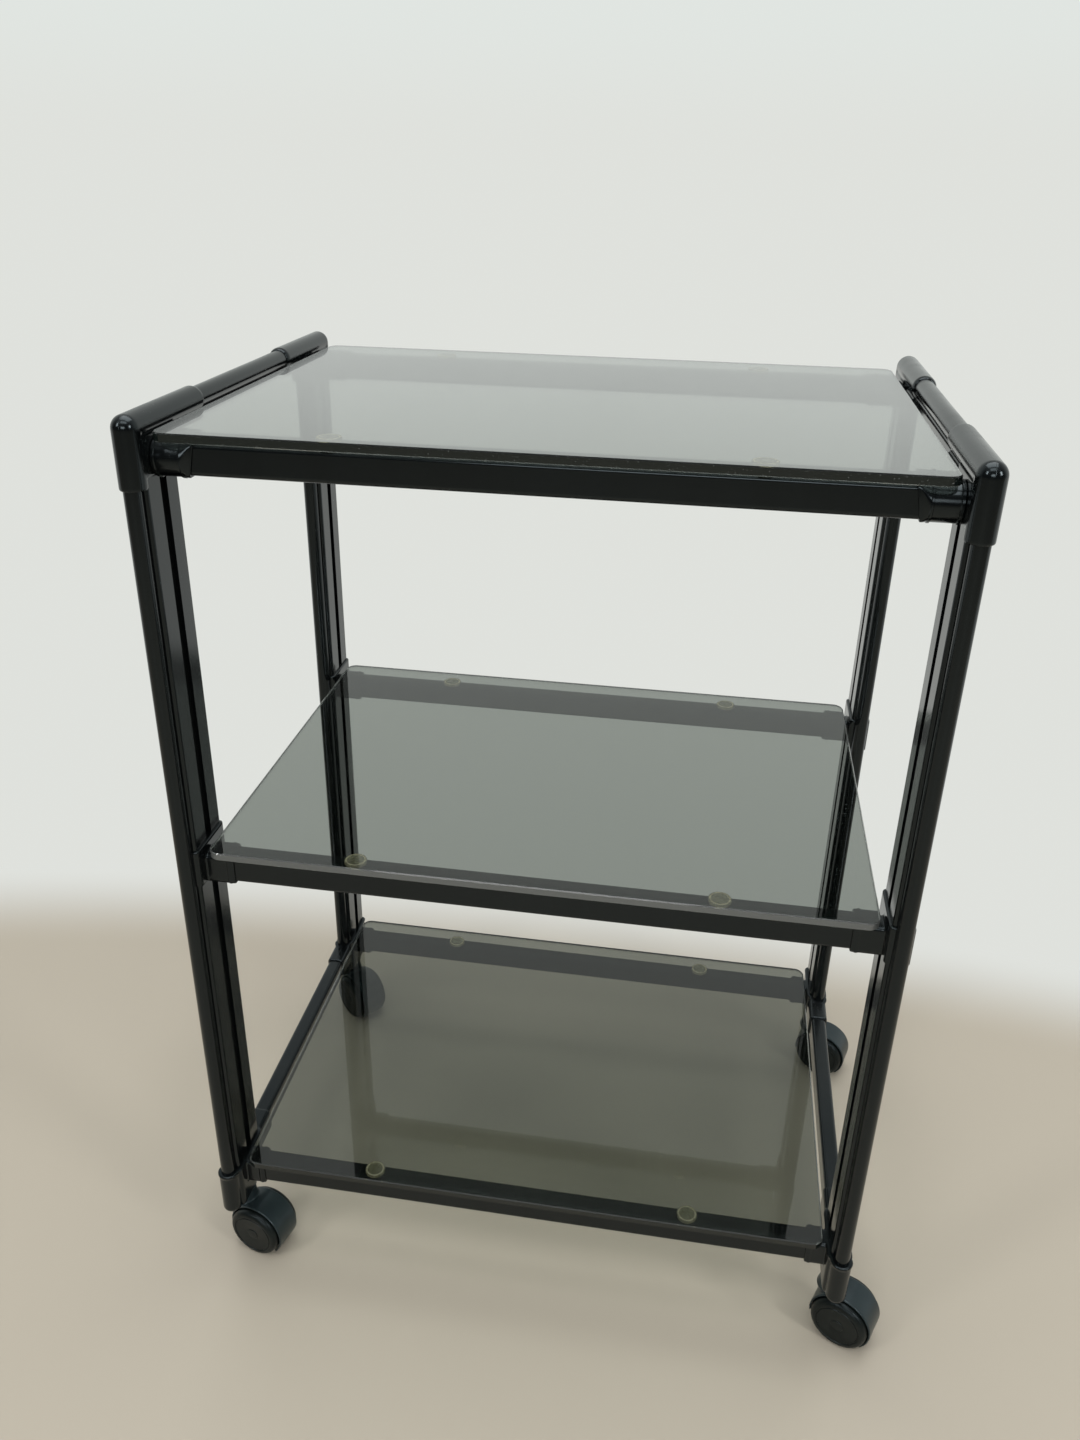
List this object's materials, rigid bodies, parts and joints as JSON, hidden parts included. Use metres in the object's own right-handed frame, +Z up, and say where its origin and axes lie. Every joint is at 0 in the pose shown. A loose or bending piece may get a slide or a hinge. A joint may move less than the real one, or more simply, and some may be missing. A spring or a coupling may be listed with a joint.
{
  "type": "serving trolley",
  "caption": "Serving trolley with flattened tube legs, glass shelves on cross rails, moulded corner joints and swivel casters.",
  "frame": {"origin": "on the floor, midway between the four legs", "axes": "+X to the right across the width, +Y from the front to the back, +Z up"},
  "size_m": [0.562, 0.368, 0.7348],
  "materials": {
    "enamel": "semi-gloss dark enamel",
    "joint_plastic": "satin black",
    "smoked_glass": "polished, smoked grey",
    "clear_pad": "clear, slightly yellow",
    "hood_plastic": "satin slate",
    "wheel_plastic": "satin black",
    "steel": "bright"
  },
  "bodies": {
    "frame": {"leg_front_left": "enamel", "top_joint_front_left": "joint_plastic", "middle_joint_front_left": "joint_plastic", "bottom_joint_front_left": "joint_plastic", "leg_front_right": "enamel", "top_joint_front_right": "joint_plastic", "middle_joint_front_right": "joint_plastic", "bottom_joint_front_right": "joint_plastic", "leg_rear_left": "enamel", "top_joint_rear_left": "joint_plastic", "middle_joint_rear_left": "joint_plastic", "bottom_joint_rear_left": "joint_plastic", "leg_rear_right": "enamel", "top_joint_rear_right": "joint_plastic", "middle_joint_rear_right": "joint_plastic", "bottom_joint_rear_right": "joint_plastic", "top_rail_front": "enamel", "top_rail_rear": "enamel", "top_pads": "clear_pad", "top_glass": "smoked_glass", "middle_rail_front": "enamel", "middle_rail_rear": "enamel", "middle_pads": "clear_pad", "middle_glass": "smoked_glass", "bottom_rail_front": "enamel", "bottom_rail_rear": "enamel", "bottom_pads": "clear_pad", "bottom_glass": "smoked_glass", "top_rail_left": "enamel", "bottom_rail_left": "enamel", "top_rail_right": "enamel", "bottom_rail_right": "enamel"},
    "caster_front_left": {"caster_hood_front_left": "hood_plastic", "caster_stem_front_left": "steel", "caster_axle_front_left": "steel"},
    "wheel_a_front_left": {"caster_wheel_a_front_left": "wheel_plastic"},
    "wheel_b_front_left": {"caster_wheel_b_front_left": "wheel_plastic"},
    "caster_front_right": {"caster_hood_front_right": "hood_plastic", "caster_stem_front_right": "steel", "caster_axle_front_right": "steel"},
    "wheel_a_front_right": {"caster_wheel_a_front_right": "wheel_plastic"},
    "wheel_b_front_right": {"caster_wheel_b_front_right": "wheel_plastic"},
    "caster_rear_left": {"caster_hood_rear_left": "hood_plastic", "caster_stem_rear_left": "steel", "caster_axle_rear_left": "steel"},
    "wheel_a_rear_left": {"caster_wheel_a_rear_left": "wheel_plastic"},
    "wheel_b_rear_left": {"caster_wheel_b_rear_left": "wheel_plastic"},
    "caster_rear_right": {"caster_hood_rear_right": "hood_plastic", "caster_stem_rear_right": "steel", "caster_axle_rear_right": "steel"},
    "wheel_a_rear_right": {"caster_wheel_a_rear_right": "wheel_plastic"},
    "wheel_b_rear_right": {"caster_wheel_b_rear_right": "wheel_plastic"}
  },
  "joints": [
    {"name": "swivel_front_left", "type": "hinge", "parent": "frame", "child": "caster_front_left", "pos_m": [-0.2515, -0.1478, 0.064], "axis": [0, 0, 1], "continuous": true},
    {"name": "roll_a_front_left", "type": "hinge", "parent": "caster_front_left", "child": "wheel_a_front_left", "pos_m": [-0.23653, -0.15181, 0.0234], "axis": [0.2588, 0.9659, 0], "continuous": true},
    {"name": "roll_b_front_left", "type": "hinge", "parent": "caster_front_left", "child": "wheel_b_front_left", "pos_m": [-0.23653, -0.15181, 0.0234], "axis": [0.2588, 0.9659, 0], "continuous": true},
    {"name": "swivel_front_right", "type": "hinge", "parent": "frame", "child": "caster_front_right", "pos_m": [0.2515, -0.1478, 0.064], "axis": [0, 0, 1], "continuous": true},
    {"name": "roll_a_front_right", "type": "hinge", "parent": "caster_front_right", "child": "wheel_a_front_right", "pos_m": [0.26555, -0.15435, 0.0234], "axis": [0.4226, 0.9063, 0], "continuous": true},
    {"name": "roll_b_front_right", "type": "hinge", "parent": "caster_front_right", "child": "wheel_b_front_right", "pos_m": [0.26555, -0.15435, 0.0234], "axis": [0.4226, 0.9063, 0], "continuous": true},
    {"name": "swivel_rear_left", "type": "hinge", "parent": "frame", "child": "caster_rear_left", "pos_m": [-0.2515, 0.1622, 0.064], "axis": [0, 0, 1], "continuous": true},
    {"name": "roll_a_rear_left", "type": "hinge", "parent": "caster_rear_left", "child": "wheel_a_rear_left", "pos_m": [-0.23963, 0.15224, 0.0234], "axis": [0.6428, 0.766, 0], "continuous": true},
    {"name": "roll_b_rear_left", "type": "hinge", "parent": "caster_rear_left", "child": "wheel_b_rear_left", "pos_m": [-0.23963, 0.15224, 0.0234], "axis": [0.6428, 0.766, 0], "continuous": true},
    {"name": "swivel_rear_right", "type": "hinge", "parent": "frame", "child": "caster_rear_right", "pos_m": [0.2515, 0.1622, 0.064], "axis": [0, 0, 1], "continuous": true},
    {"name": "roll_a_rear_right", "type": "hinge", "parent": "caster_rear_right", "child": "wheel_a_rear_right", "pos_m": [0.26624, 0.15741, 0.0234], "axis": [0.309, 0.9511, 0], "continuous": true},
    {"name": "roll_b_rear_right", "type": "hinge", "parent": "caster_rear_right", "child": "wheel_b_rear_right", "pos_m": [0.26624, 0.15741, 0.0234], "axis": [0.309, 0.9511, 0], "continuous": true}
  ]
}
